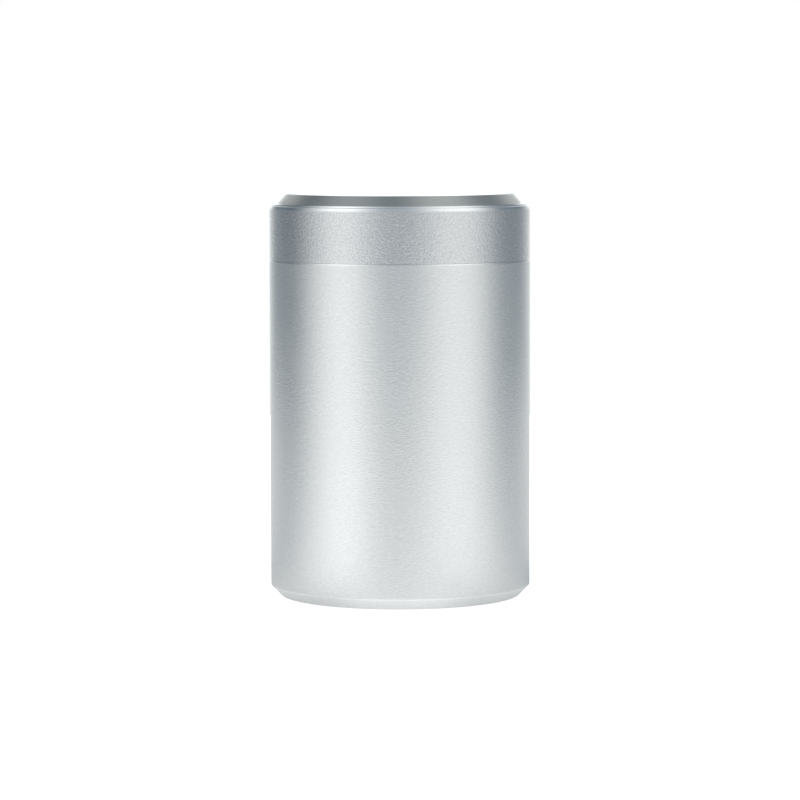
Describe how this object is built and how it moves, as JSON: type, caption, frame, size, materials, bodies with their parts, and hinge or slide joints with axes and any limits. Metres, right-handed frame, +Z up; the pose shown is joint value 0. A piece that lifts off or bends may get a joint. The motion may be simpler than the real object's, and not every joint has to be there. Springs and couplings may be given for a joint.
{
  "type": "round screw-lid can",
  "caption": "Round straight-sided aluminium can with a flush screw lid, a raised top disc, a threaded neck with a sealing ring, and a rubber base pad.",
  "frame": {"origin": "centre of the face that the can stands on, at the bottom of the overall box", "axes": "+Z up along the can's axis towards the lid; +X and +Y are equal, and the threads start on the +X side"},
  "size_m": [0.076, 0.076, 0.1177],
  "materials": {
    "body_aluminium": "finely turned, satin silver anodised",
    "lid_aluminium": "fine bead-blasted, silver anodised",
    "disc_aluminium": "diamond turned, bright satin",
    "collar_aluminium": "as machined, clear anodised",
    "insert_plastic": "moulded polypropylene, natural white",
    "gasket_rubber": "translucent white silicone, matt",
    "seal_rubber": "black nitrile cord, satin",
    "pad_rubber": "black rubber sheet, matt"
  },
  "bodies": {
    "can": {"can_shell": "body_aluminium", "base_pad": "pad_rubber", "neck_collar": "collar_aluminium", "sealing_ring": "seal_rubber"},
    "gasket": {"lid_gasket": "gasket_rubber"},
    "lid": {"lid_ring": "lid_aluminium", "top_disc": "disc_aluminium", "thread_insert": "insert_plastic"}
  },
  "joints": [
    {"name": "lid_lift", "type": "slide", "parent": "can", "child": "gasket", "axis": [0, 0, 1], "range_m": [0, 0.018]},
    {"name": "lid_turn", "type": "hinge", "parent": "gasket", "child": "lid", "pos_m": [0, 0, 0.11], "axis": [0, 0, 1], "range_deg": [0, 2160]}
  ],
  "couplings": [
    {"joint": "lid_lift", "follows": "lid_turn", "m_per_rad": 0.00047746}
  ]
}
